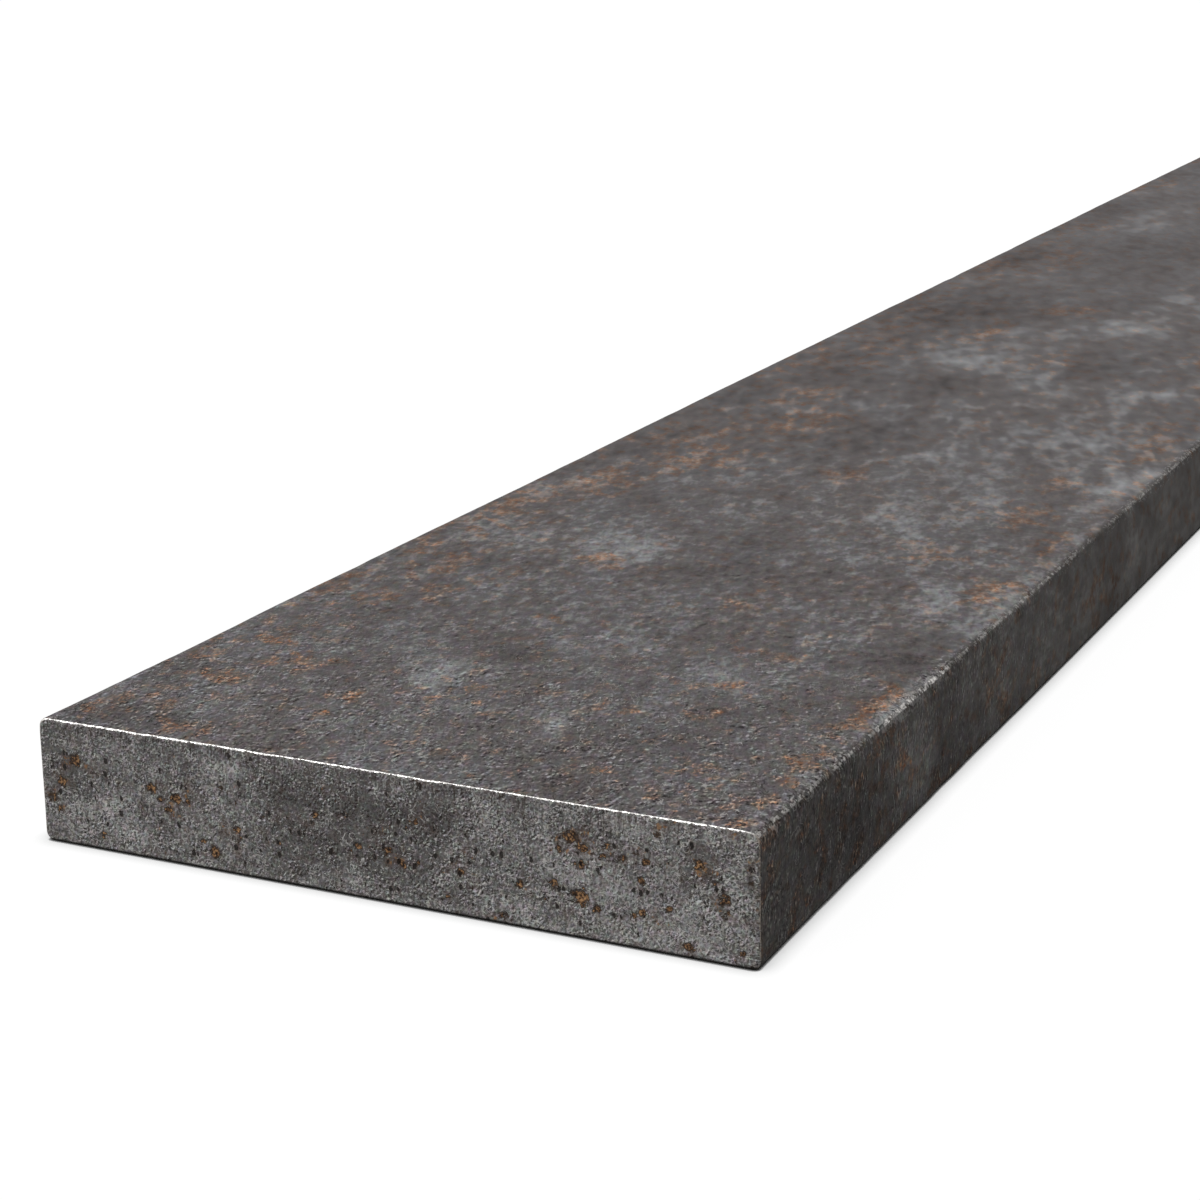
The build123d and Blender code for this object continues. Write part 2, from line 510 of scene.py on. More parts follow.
# What is pressed into the surface: name, vertex group, depth, and the size and detail of
# a cloudy pattern, or None for as deep as the group says.
RELIEF = (
    ("slow_waver", "above_floor", 0.16 * MM, 34 * MM, 1),
    ("lifting_scale", "above_floor", 0.05 * MM, 5 * MM, 2),
    ("corner_flats", "worn_corners", 0.10 * MM, None, None),
    ("corner_hammering", "worn_corners", 0.22 * MM, 3.2 * MM, 2),
    ("knocks", "knocks", 1.0 * MM, None, None),
    ("end_pits", "end_pits", 1.0 * MM, None, None),
)


def sink(bar, name, group, depth, size, detail):
    """Presses the surface inwards, by up to depth, where the group and the pattern say."""
    press = bar.modifiers.new(name, "DISPLACE")
    press.direction = "NORMAL"
    press.vertex_group = group
    if size is None:
        press.strength = -depth
        press.mid_level = 0.0
    else:
        pattern = bpy.data.textures.new(name, "CLOUDS")
        pattern.noise_scale = size
        pattern.noise_depth = detail
        press.texture = pattern
        press.texture_coords = "LOCAL"
        press.strength = depth
        press.mid_level = 1.0
    bpy.ops.object.modifier_apply(modifier=name)


def roughen(bar):
    """Wears, knocks and pits the bar, and keeps on its vertices what the finishes ask for."""
    places = places_mm(bar)
    worn = corner_wear(places)
    keep_as_attribute(bar, "corner_wear", worn)
    keep_as_attribute(bar, "rust_bloom", rust_bloom(places))
    keep_as_attribute(bar, "tone_patch", tone_patches(places))
    keep_as_attribute(bar, "end_rust", end_marks(places, [spot[:4] for spot in END_SPOTS]))
    keep_as_attribute(bar, "pin_holes", end_marks(places, PIN_CLUSTERS))
    # The underside keeps lying flat on the floor.
    keep_as_group(bar, "above_floor", np.clip(places[:, 2] / (ROLLED_RADIUS / MM), 0, 1))
    keep_as_group(bar, "worn_corners", worn)
    keep_as_group(bar, "knocks", knock_depth(places))
    pits = [(across, up, radius, depth) for across, up, radius, _, depth in END_SPOTS]
    keep_as_group(bar, "end_pits", end_marks(places, pits))
    for step in RELIEF:
        sink(bar, *step)
    keep_as_attribute(bar, "pressed_in", np.linalg.norm(places_mm(bar) - places, axis=1))


def model_bar():
    deselect_objects()
    bpy.ops.mesh.primitive_cube_add(size=1, location=MIDDLE, scale=(WIDTH, LENGTH, THICKNESS))
    bar = bpy.context.object
    bar.name = bar.data.name = "hot_rolled_flat"
    bpy.ops.object.transform_apply(location=True, rotation=False, scale=True)
    bpy.ops.object.mode_set(mode="EDIT")
    round_long_corners(bar)
    dress_ends(bar)
    strip_faces(bar)
    cross_cut(bar)
    refine_near_top(bar)
    refine_cut_ends(bar)
    bpy.ops.object.mode_set(mode="OBJECT")
    roughen(bar)
    bpy.ops.object.shade_smooth()
    weighting = bar.modifiers.new("face_weighting", "WEIGHTED_NORMAL")
    bpy.ops.object.modifier_apply(modifier=weighting.name)
    return bar


bar = model_bar()
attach(bar, "root")
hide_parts("flat_bar")


# ------------------------------------------------------------------ shader tools

# Sockets of the node groups that take a place or a direction. All others take a number.
VECTOR_SOCKETS = ("position", "to_light")


def tone(red, green, blue):
    """A colour as it shows in even light, 0 to 255, written for a shader's socket."""
    linear = [
        c / 255 / 12.92 if c <= 10 else ((c / 255 + 0.055) / 1.055) ** 2.4
        for c in (red, green, blue)
    ]
    return (*linear, 1.0)


def spelled(name):
    """A socket's name as Blender shows it: grain_size is Grain Size."""
    return name.replace("_", " ").title()


class Value:
    """What a node puts out. Reckoning with values puts the nodes that do it on their sheet."""

    def __init__(self, sheet, socket):
        self.sheet, self.socket = sheet, socket

    def __add__(self, other):
        return self.sheet.maths("ADD", self, other)

    def __sub__(self, other):
        return self.sheet.maths("SUBTRACT", self, other)

    def __rsub__(self, other):
        return self.sheet.maths("SUBTRACT", other, self)

    def __mul__(self, other):
        return self.sheet.maths("MULTIPLY", self, other)

    def __truediv__(self, other):
        return self.sheet.maths("DIVIDE", self, other)

    def __abs__(self):
        return self.sheet.maths("ABSOLUTE", self)

    __radd__ = __add__

    def times(self, factor, plus):
        return self.sheet.maths("MULTIPLY_ADD", self, factor, plus)

    def weighed(self, weight):
        """The value times its weight, counted from its own middle of 0.5."""
        return self.times(weight, plus=-0.5 * weight)

    def ease(self, start, stop, low=0, high=1):
        """Eases from low to high as the value goes from start to stop."""
        inputs = {"Value": self, "From Min": start, "From Max": stop}
        inputs |= {"To Min": low, "To Max": high}
        return self.sheet.result("MapRange", inputs, "Result", interpolation_type="SMOOTHSTEP")

    def fade(self, low, high):
        """Eases from low where the value is 0 to high where it is 1."""
        return self.ease(0, 1, low, high)

    def parts(self):
        """The three numbers that a place or a colour is made of."""
        node = self.sheet.put("SeparateXYZ", {"Vector": self})
        return [Value(self.sheet, part) for part in node.outputs]


class Sheet:
    """The node sheet of one material or node group, with plain names for what is put on it."""

    def __init__(self, tree):
        self.tree = tree

    def feed(self, socket, value):
        source = getattr(value, "socket", value)
        if isinstance(source, bpy.types.NodeSocket):
            self.tree.links.new(source, socket)
        else:
            socket.default_value = value

    def put(self, kind, inputs, **settings):
        node = self.tree.nodes.new("ShaderNode" + kind)
        for name, value in settings.items():
            setattr(node, name, value)
        for socket, value in inputs.items():
            self.feed(node.inputs[socket], value)
        return node

    def result(self, kind, inputs, output=0, **settings):
        return Value(self, self.put(kind, inputs, **settings).outputs[output])

    def use(self, group, **inputs):
        """Places a node group, and gives what it puts out by name."""
        named = {spelled(name): value for name, value in inputs.items()}
        outputs = self.put("Group", named, node_tree=group).outputs
        plain = {socket.name.lower().replace(" ", "_"): socket for socket in outputs}
        return SimpleNamespace(**{name: Value(self, plain[name]) for name in plain})

    def maths(self, operation, *values):
        return self.result("Math", dict(enumerate(values)), operation=operation)

    def largest(self, *values):
        return functools.reduce(functools.partial(self.maths, "MAXIMUM"), values)

    def vectors(self, operation, *values):
        return self.result("VectorMath", dict(enumerate(values)), operation=operation)

    def scaled(self, vector, factor):
        return self.result("VectorMath", {0: vector, "Scale": factor}, operation="SCALE")

    def noise(self, position, size, detail=1.0, roughness=0.5, output="Fac"):
        inputs = {"Vector": position, "Scale": self.maths("DIVIDE", 1.0, size)}
        inputs |= {"Detail": detail, "Roughness": roughness}
        return self.result("TexNoise", inputs, output)

    def noises(self, position, size, detail=1.0, roughness=0.5):
        """Three noises, each with its own pattern."""
        return self.noise(position, size, detail, roughness, "Color").parts()

    def noise_and_beside(self, position, step, size, detail, roughness):
        """A noise at a place, and the same noise one step further on."""
        beside = self.vectors("ADD", position, step)
        return [self.noise(place, size, detail, roughness) for place in (position, beside)]

    def warped(self, position, size, reach):
        """The position, pushed about by a noise of that size."""
        push = self.noise(position, size, output="Color")
        push = self.vectors("SUBTRACT", push, (0.5, 0.5, 0.5))
        return self.vectors("ADD", position, self.scaled(push, reach))

    def drawn(self, position, lean, reach):
        """The position, so that what is laid on it comes out drawn out by reach on each axis."""
        inputs = {"Vector": position, "Rotation": (0, 0, math.radians(lean)), "Scale": reach}
        return self.result("Mapping", inputs, vector_type="TEXTURE")

    def hanging(self, position, squeeze):
        """The position, squeezed in height, so that what is laid on it comes out as runs."""
        return self.result("Mapping", {"Vector": position, "Scale": (1, 1, squeeze)})

    # A Mix node has sockets for each kind of data, told apart by their numbers.

    def blend(self, share, under, over, blend_type="MIX"):
        inputs = {0: share, 6: under, 7: over}
        return self.result("Mix", inputs, 2, data_type="RGBA", blend_type=blend_type)

    def between(self, share, under, over):
        return self.result("Mix", {0: share, 2: under, 3: over}, data_type="FLOAT")

    def coated(self, colour, *coats):
        """The colour under further coats, each a share and a colour of its own."""
        for share, coat in coats:
            colour = self.blend(share, colour, coat)
        return colour

    def drift(self, colour, position, size, reach):
        """The colour, drifting a little in hue from place to place."""
        drifts = self.noise(position, size, detail=1.5, output="Color")
        drifts = self.scaled(self.vectors("SUBTRACT", drifts, (0.5, 0.5, 0.5)), reach)
        return self.vectors("MULTIPLY", colour, self.vectors("ADD", drifts, (1, 1, 1)))

    def ramp(self, level, stops):
        """The colour at a level between 0 and 1, from colours that are evenly spaced."""
        node = self.put("ValToRGB", {"Fac": level})
        points = node.color_ramp.elements
        while len(points) < len(stops):
            points.new(0.5)
        for index, (point, colour) in enumerate(zip(points, stops)):
            point.position, point.color = index / (len(stops) - 1), colour
        return Value(self, node.outputs["Color"])

    def attributes(self, *names):
        return [self.result("Attribute", {}, "Fac", attribute_name=name) for name in names]

    def place_mm(self):
        """The place on the bar, in millimetres."""
        here = self.result("TexCoord", {}, "Object")
        return self.result("Mapping", {"Vector": here, "Scale": (1 / MM, 1 / MM, 1 / MM)})


def cleared_sheet(owner):
    """The empty node sheet of a material or a world."""
    owner.use_nodes = True
    owner.node_tree.nodes.clear()
    return Sheet(owner.node_tree)


def node_group(make):
    """Makes a node group of a function: what it takes comes in, and what it returns goes out."""
    tree = bpy.data.node_groups.new(make.__name__, "ShaderNodeTree")
    sheet = Sheet(tree)
    _, *inputs = inspect.signature(make).parameters
    for name in inputs:
        kind = "NodeSocketVector" if name in VECTOR_SOCKETS else "NodeSocketFloat"
        tree.interface.new_socket(spelled(name), in_out="INPUT", socket_type=kind)
    given = tree.nodes.new("NodeGroupInput").outputs
    outputs = make(sheet, *(Value(sheet, given[spelled(name)]) for name in inputs))
    for name in outputs:
        tree.interface.new_socket(spelled(name), in_out="OUTPUT", socket_type="NodeSocketFloat")
    result = tree.nodes.new("NodeGroupOutput").inputs
    for name, value in outputs.items():
        sheet.feed(result[spelled(name)], value)
    return tree


# ------------------------------------------------------------------ shared effects


@node_group
def edge_distances(sheet, position):
    """How deep a place lies in from the cut ends and from the long faces, in millimetres."""
    across, along, up = position.parts()
    half_width, half_length, half_height = WIDTH / 2 / MM, LENGTH / 2 / MM, THICKNESS / 2 / MM
    corner = ROLLED_RADIUS / MM
    out = abs(across) - (half_width - corner)
    over = abs(up - half_height) - (half_height - corner)
    in_round = {"X": sheet.largest(out, 0.0), "Y": sheet.largest(over, 0.0)}
    in_round = sheet.result("CombineXYZ", in_round)
    past_flat = sheet.result("VectorMath", {0: in_round}, "Value", operation="LENGTH")
    inside = sheet.maths("MINIMUM", sheet.largest(out, over), 0.0)
    return {
        "from_end": half_length - abs(along),
        "from_face": corner - (past_flat + inside),
        "off_corner": corner * math.sqrt(0.5) - sheet.maths("MINIMUM", out, over),
        "up": up,
    }


@node_group
def scale_clouds(sheet, position, cloud_size, mottle_size, detail):
    """Slow changes of tone: drifting clouds, and a mottle inside them."""
    drift = sheet.warped(position, cloud_size, cloud_size)
    cloud = sheet.noise(drift, cloud_size, detail, 0.6)
    mottle = sheet.noise(position, mottle_size, detail, 0.62)
    return {"cloud": cloud.ease(0.34, 0.66), "mottle": mottle.ease(0.30, 0.70)}


@node_group
def oxide_grain(sheet, position, stroke_size, stroke_share):
    """The grain of oxide on steel: close crooked lines, and single pale and dark strokes."""
    crooked = sheet.warped(position, stroke_size * 1.5, stroke_size)
    waves = sheet.noises(crooked, stroke_size, detail=0.6)
    patches = sheet.noises(position, stroke_size * 2.6)
    # From one line to the next the noise rises by this much.
    period = 0.36
    turns = waves[0].times(2 * math.pi / period, plus=-math.pi / period)
    swing = patches[2].ease(0.36, 0.64, 0.2, 0.5)
    start = 0.66 - stroke_share * 0.24

    def strokes(wave, patch):
        return abs(wave - 0.5).ease(0.05, 0.015) * patch.ease(start, start + 0.07)

    return {
        "lines": sheet.maths("COSINE", turns).times(swing, plus=0.5),
        "pale": strokes(waves[1], patches[0]),
        "dark": strokes(waves[2], patches[1]),
    }


@node_group
def oxide_relief(sheet, position, grain_size, to_light, quiet, loud):
    """Rough oxide with painted light and shade: each grain is pale on the side it turns to the
    light and dark behind.
    """
    crooked = sheet.warped(position, grain_size * 1.5, grain_size * 1.3)
    step = sheet.scaled(to_light, grain_size * 0.4)
    here, beside = sheet.noise_and_beside(crooked, step, grain_size, 1.2, 0.6)
    rise = (here - beside) * 6.0
    # Steep grains stand out from many flat ones.
    steep = abs(rise) + 0.15
    patches = sheet.noise(position, grain_size * 5.0, 2.0, 0.6)
    strength = patches.ease(0.40, 0.66, quiet, loud)
    return {"shade": rise * steep * strength, "height": here * strength}


@node_group
def soft_relief(sheet, position, grain_size, detail, to_light):
    """Softly worn oxide with painted light and shade: rounded grains of low contrast, paler on the
    side turned to the light.
    """
    crooked = sheet.warped(position, grain_size * 1.25, grain_size * 0.8)
    step = sheet.scaled(to_light, grain_size * 0.28)
    here, beside = sheet.noise_and_beside(crooked, step, grain_size, detail, 0.55)
    return {"shade": (here - beside).times(1.2, plus=here) - 0.5}


@node_group
def rust(sheet, position, bloom, fleck_size):
    """Rust where the bloom says: how brown the steel is stained, and where it is rusted through."""
    crooked = sheet.warped(position, fleck_size, fleck_size)
    grain = sheet.noises(crooked, fleck_size, 2.0, 0.6)
    spread = sheet.noises(position, fleck_size * 3.2, 2.0)
    uneven = bloom + spread[0].ease(0.3, 0.7, -0.7, 0.45)
    there = uneven.ease(0.05, 0.8)
    start = uneven.fade(0.72, 0.50)
    return {
        "spread": there,
        "stain": there * grain[1].ease(0.25, 0.6),
        "flecks": grain[0].ease(start, start + 0.09),
        "age": grain[2].ease(0.4, 0.62),
    }


@node_group
def pin_holes(sheet, position, spacing, widest, share):
    """Small ragged holes, spread unevenly. Seen on the end they are higher than wide."""
    across, _, up = sheet.warped(position, 0.22, 0.28).parts()
    flat = sheet.result("CombineXYZ", {"X": across, "Y": up / 1.6})
    cells = {"Vector": flat, "Scale": sheet.maths("DIVIDE", 1.0, spacing)}
    cells = sheet.put("TexVoronoi", cells, voronoi_dimensions="2D").outputs
    # The distance is counted in cells.
    distance = sheet.maths("MULTIPLY", cells["Distance"], spacing)
    luck = Value(sheet, cells["Color"]).parts()
    size = widest * luck[0].fade(0.4, 1.0)
    there = sheet.maths("LESS_THAN", luck[1], share)
    hole, rim = distance.ease(size, size * 0.75), distance.ease(size * 1.8, size)
    return {"hole": hole * there, "rim": rim * there}


@node_group
def rubbed_edge(sheet, position, distance, reach, nick_size):
    """Where an edge is rubbed bright: a band of uneven width with small dark nicks in it."""
    rag = sheet.noises(position, nick_size, 2.0)
    ragged = reach * rag[0].ease(0.3, 0.7, 0.6, 1.25)
    band = distance.ease(ragged, ragged * 0.6)
    nick = rag[1].ease(0.64, 0.78)
    return {"bare": band * (1.0 - nick), "nick": band * nick}


# ------------------------------------------------------------------ finishes

# Bare and rubbed steel; the bead and the beige arris are partly painted highlights.
BARE_STEEL = tone(234, 232, 228)
BEAD_STEEL = tone(212, 209, 205)
RUBBED_STEEL = tone(160, 157, 156)
ARRIS_BEIGE = tone(158, 148, 138)
NICK_GREY = tone(112, 107, 102)

# Strokes, streaks and runs, and a painted shade along the floor.
PALE_STROKE = tone(160, 157, 154)
PALE_CUT_STROKE = tone(176, 174, 171)
DARK_STROKE = tone(34, 31, 29)
SIDE_STREAK = tone(82, 69, 56)
END_STREAK = tone(54, 47, 42)
END_RUN = tone(46, 39, 35)
FLOOR_DIRT = tone(24, 22, 20)

# Rust, and the spots and holes of the cut end.
RUST_BROWN = tone(76, 60, 51)
RUST_FLECK = tone(132, 96, 60)
SPOT_HALO = tone(60, 50, 43)
SPOT_RING = tone(44, 34, 27)
HOLE_BLACK = tone(16, 12, 10)

# Tones from dark to pale: of the scale, of rust in it, new and old, of the cut end and its spots.
SCALE_TONES = (tone(34, 30, 31), tone(91, 88, 89), tone(156, 156, 157))
RUST_TONES = (tone(48, 34, 27), tone(112, 80, 62), tone(196, 138, 98))
TAN_TONES = (tone(50, 41, 36), tone(112, 98, 88), tone(206, 182, 160))
CUT_TONES = (tone(28, 21, 19), tone(89, 87, 86), tone(177, 175, 174))
SPOT_TONES = (tone(30, 21, 15), tone(98, 72, 51), tone(152, 118, 84))

# What the scale's colour is multiplied by: dark patches, pale patches, narrow sides, blooms.
DARK_TINT = (1.0, 0.96, 0.925, 1.0)
PALE_TINT = (0.975, 0.995, 1.0, 1.0)
SIDE_TINT = (1.0, 0.995, 0.93, 1.0)
BLOOM_TINT = (1.05, 1.0, 0.93)

# A face is part of the cut end if its normal turns to the end by at least this much.
FACES_END = 0.6

# How far the grain of the scale leans from the bar's length, in degrees.
LEAN = 24

# The side from which the grains' painted light falls, on the top, on worn corners and on the cut
# end.
TOP_LIGHT = (-0.45, 0.89, 0.4)
CORNER_LIGHT = (0.1, -0.9, 0.3)
END_LIGHT = (-0.5, 0.0, 0.6)

# Heights between which a rim goes over from the cut end to the top of the bar.
BELOW_TOP, AT_TOP = 9.5, 9.85

# How high the bumps of both finishes stand, and how rough the bare steel and rust are.
BUMP_HEIGHT = 0.022 * MM
BARE_ROUGHNESS = 0.40
RUST_ROUGHNESS = 0.85


def worn_rim(sheet, here, up, distance):
    """The rim of a cut end, rubbed and nicked, where its top edge is bare, and what glints."""
    # The rubbed band is widest at the left.
    reach = here.parts()[0].ease(-14, -6, 0.15, 0.115)
    rim = sheet.use(rubbed_edge, position=here, distance=distance, reach=reach, nick_size=0.25)
    lit = sheet.noise(here, 0.3, 2.0, 0.7)
    bare = rim.bare * up.ease(BELOW_TOP, AT_TOP) * lit.ease(0.40, 0.58, 0.45, 1)
    return rim, bare, lit


def coat_rim(sheet, colour, rim, arris, bare, dirt):
    """Beige steel round the end, partly a painted highlight, bare steel along its top, dark nicks,
    and a painted shade along the floor.
    """
    nick = rim.nick * 0.6
    coats = (arris, ARRIS_BEIGE), (bare, BARE_STEEL), (nick, NICK_GREY), (dirt, FLOOR_DIRT)
    return sheet.coated(colour, *coats)


def finish_steel(sheet, colour, metal, dull, heights, bumpiness, sheen):
    """Feeds a finish to its shader. The heights are values with their weights."""
    height = sum(value.weighed(weight) for value, weight in heights)
    bump = {"Strength": bumpiness, "Distance": BUMP_HEIGHT, "Height": height}
    surface = {
        "Base Color": colour,
        "Metallic": metal,
        "Roughness": sheet.between(metal, dull, BARE_ROUGHNESS),
        "Normal": sheet.result("Bump", bump),
        "Specular IOR Level": sheen,
    }
    sheet.put("OutputMaterial", {"Surface": sheet.result("BsdfPrincipled", surface)})


def make_rolled_scale():
    """The mill scale that the rolls leave on the long faces, with rust breaking through."""
    material = bpy.data.materials.new("hot_rolled_scale")
    sheet = cleared_sheet(material)
    here = sheet.place_mm()
    edges = sheet.use(edge_distances, position=here)
    along = edges.from_end.ease
    # 1 on the two narrow sides, 0 on the top and the underside.
    on_side = abs(here.parts()[0]).ease(29.1, 29.7)
    # The scale is crispest by the near end; further along first the finest marks soften.
    sharp = on_side.fade(1, 0.7) * along(2, 50, 1, 0.02)
    crisp = along(12, 90, 1, 0.03)
    calm = on_side.fade(1, 0.7) * crisp

    # The rolls draw the grain out lengthways, a little aslant.
    drawn = sheet.drawn(here, LEAN, (1.0, 2.4, 1.4))
    detail = along(20, 110, 3.5, 1)
    clouds = sheet.use(
        scale_clouds, position=drawn, cloud_size=6.0, mottle_size=1.6, detail=detail
    )
    grain = sheet.use(oxide_grain, position=drawn, stroke_size=0.40, stroke_share=0.2)

    def relief(group, reach, lean=LEAN, to_light=TOP_LIGHT, **inputs):
        position = sheet.drawn(here, lean, reach)
        return sheet.use(group, position=position, to_light=to_light, **inputs)

    fine = relief(oxide_relief, (1.2, 1.8, 1.1), grain_size=0.30, quiet=0.45, loud=1.6)
    coarse = relief(oxide_relief, (1.0, 1.4, 1.0), grain_size=0.65, quiet=0.0, loud=1.2)
    broad = relief(soft_relief, (1.0, 1.9, 1.0), grain_size=1.0, detail=2.2)
    fading = along(50, 160, 2.2, 0.4)
    leathery = relief(soft_relief, (1.0, 2.6, 1.0), grain_size=1.9, detail=fading)
    # Strokes down over the worn corners, in painted light and shade.
    flutes = relief(
        oxide_relief, (1.0, 1.0, 2.2), 0, CORNER_LIGHT, grain_size=0.26, quiet=0.2, loud=1.8
    )
    patch, wear, bloom, pressed = sheet.attributes(
        "tone_patch", "corner_wear", "rust_bloom", "pressed_in"
    )
    bloom = sheet.largest(bloom, on_side * along(15, 45, 0.22, 0.08))

    # The patches show more further along.
    patchy = patch * along(8, 260, 0.22, 0.34) * clouds.cloud.fade(0.8, 1.1)
    # The grains' painted light and shade set much of the tone, here and below.
    level = (fine.shade * 0.19 + grain.lines.weighed(0.20)) * sharp
    level = level + (patchy * on_side.fade(1, 1.4) + 0.46) + coarse.shade * (calm * 0.12)
    swell = along(6, 45, 0.12, 0.45) * along(50, 130, 1, 0.05)
    level = broad.shade.times(swell, plus=level)
    slow = along(20, 110, 0.12, 0.36) * along(90, 280, 1, 0.35)
    level = leathery.shade.times(slow, plus=level) + clouds.cloud.weighed(0.12)
    level = level + (clouds.mottle - 0.5) * along(80, 280, 0.12, 0.05)
    fluted = sheet.largest(wear.ease(0.3, 0.8), on_side * 0.85)
    fluted = fluted * crisp.ease(0, 0.7) * wear.ease(0.3, 0.9, 0.3, 0.55)
    level = flutes.shade.times(fluted, plus=level)
    # The narrow sides are darker: their own scale, and a painted shade.
    level = level - on_side * 0.135 - along(60, 320, 0, 0.08)

    hue = patch.times(0.5, plus=clouds.cloud) - on_side * 0.4
    tint = sheet.blend(hue.ease(-0.2, 1.2), DARK_TINT, PALE_TINT)
    tint = sheet.blend(on_side, tint, SIDE_TINT)
    colour = sheet.blend(1.0, sheet.ramp(level, SCALE_TONES), tint, "MULTIPLY")
    colour = sheet.drift(colour, drawn, 0.5, along(20, 120, 0.36, 0.12))
    # Streaks that ran down the narrow sides.
    streaks = sheet.noise(sheet.hanging(here, 0.3), 0.7, 3.0, 0.65).ease(0.54, 0.70) * on_side
    dark, pale = grain.dark * sharp, grain.pale * sharp
    colour = sheet.coated(
        colour, (streaks * 0.45, SIDE_STREAK), (dark * 0.6, DARK_STROKE), (pale * 0.65, PALE_STROKE)
    )

    rust_place = sheet.drawn(here, LEAN, (0.9, 1.3, 1.0))
    rusting = sheet.use(rust, position=rust_place, bloom=bloom, fleck_size=0.5)
    new_rust, old_rust = (sheet.ramp(level + 0.06, tones) for tones in (RUST_TONES, TAN_TONES))
    rusty = sheet.blend(rusting.age, new_rust, old_rust)
    # In a bloom, rust goes first on the grains' sides that carry painted light.
    raised = coarse.shade.times(0.6, plus=fine.shade).ease(0.05, 0.4) * rusting.spread * crisp
    stain = rusting.stain * crisp.ease(0.1, 1, 0.6, 0.35)
    stain = rusting.stain.times(bloom.ease(0.9, 1.25, 0, 0.4), plus=stain)
    flecks = rusting.flecks * crisp.fade(0.3, 0.85)
    # Further along the rust shows as soft streaks.
    soft = broad.shade.times(1.4, plus=leathery.shade.times(2.2, plus=bloom * 0.5))
    soft = soft.ease(0.15, 0.6) * crisp.fade(0.36, 0) * bloom.ease(0.05, 0.6)
    soft = soft * on_side.fade(1, 0.15)
    colour = sheet.coated(
        colour,
        (rusting.spread * 0.8, sheet.vectors("MULTIPLY", colour, BLOOM_TINT)),
        (stain, rusty),
        (raised * 0.65, rusty),
        (flecks, rusty),
        (soft, rusty),
    )

    rim, bare, lit = worn_rim(sheet, here, edges.up, edges.from_end - pressed)
    # The long corners are rubbed where they are worn, with a bright bead on the very corner that is
    # partly worn steel and partly a painted highlight.
    worn = sheet.noise(here, 0.7, 3.0, 0.7)
    off_corner = edges.off_corner - pressed
    rubbed = fine.shade.times(0.5, plus=wear) + worn.ease(0.25, 0.75, -0.5, 0.5)
    rubbed = rubbed.ease(0.55, 0.85) * wear.ease(0.02, 0.3) * off_corner.ease(1.4, 0.3)
    beads = sheet.use(
        rubbed_edge, position=here, distance=off_corner, reach=0.08, nick_size=0.25
    )
    bead = beads.bare * wear.ease(0.1, 0.8) * lit.ease(0.40, 0.56) * worn.ease(0.42, 0.56)
    colour = sheet.coated(colour, (rubbed * 0.5, RUBBED_STEEL), (bead, BEAD_STEEL))
    # Below the top edge the rim is beige: worn steel, and a painted highlight.
    arris = rim.bare * edges.up.ease(AT_TOP, BELOW_TOP, 0, 0.8)
    # Painted shade: the rim darkens towards the floor.
    colour = coat_rim(sheet, colour, rim, arris, bare, edges.up.ease(0.9, 0.2) * 0.85)

    metal = sheet.largest(bare, bead * 0.6)
    dull = sheet.between(rusting.stain, clouds.mottle.fade(0.60, 0.72), RUST_ROUGHNESS)
    heights = (
        (grain.lines, 0.8),
        (fine.height, 2.0),
        (coarse.height, 3.5),
        (clouds.mottle, 1.5),
        (dark, -2.0),
        (pale, 1.2),
        (flecks, 0.8),
        (rim.nick, -2.0),
    )
    finish_steel(sheet, colour, metal, dull, heights, bumpiness=crisp, sheen=0.06)
    return material


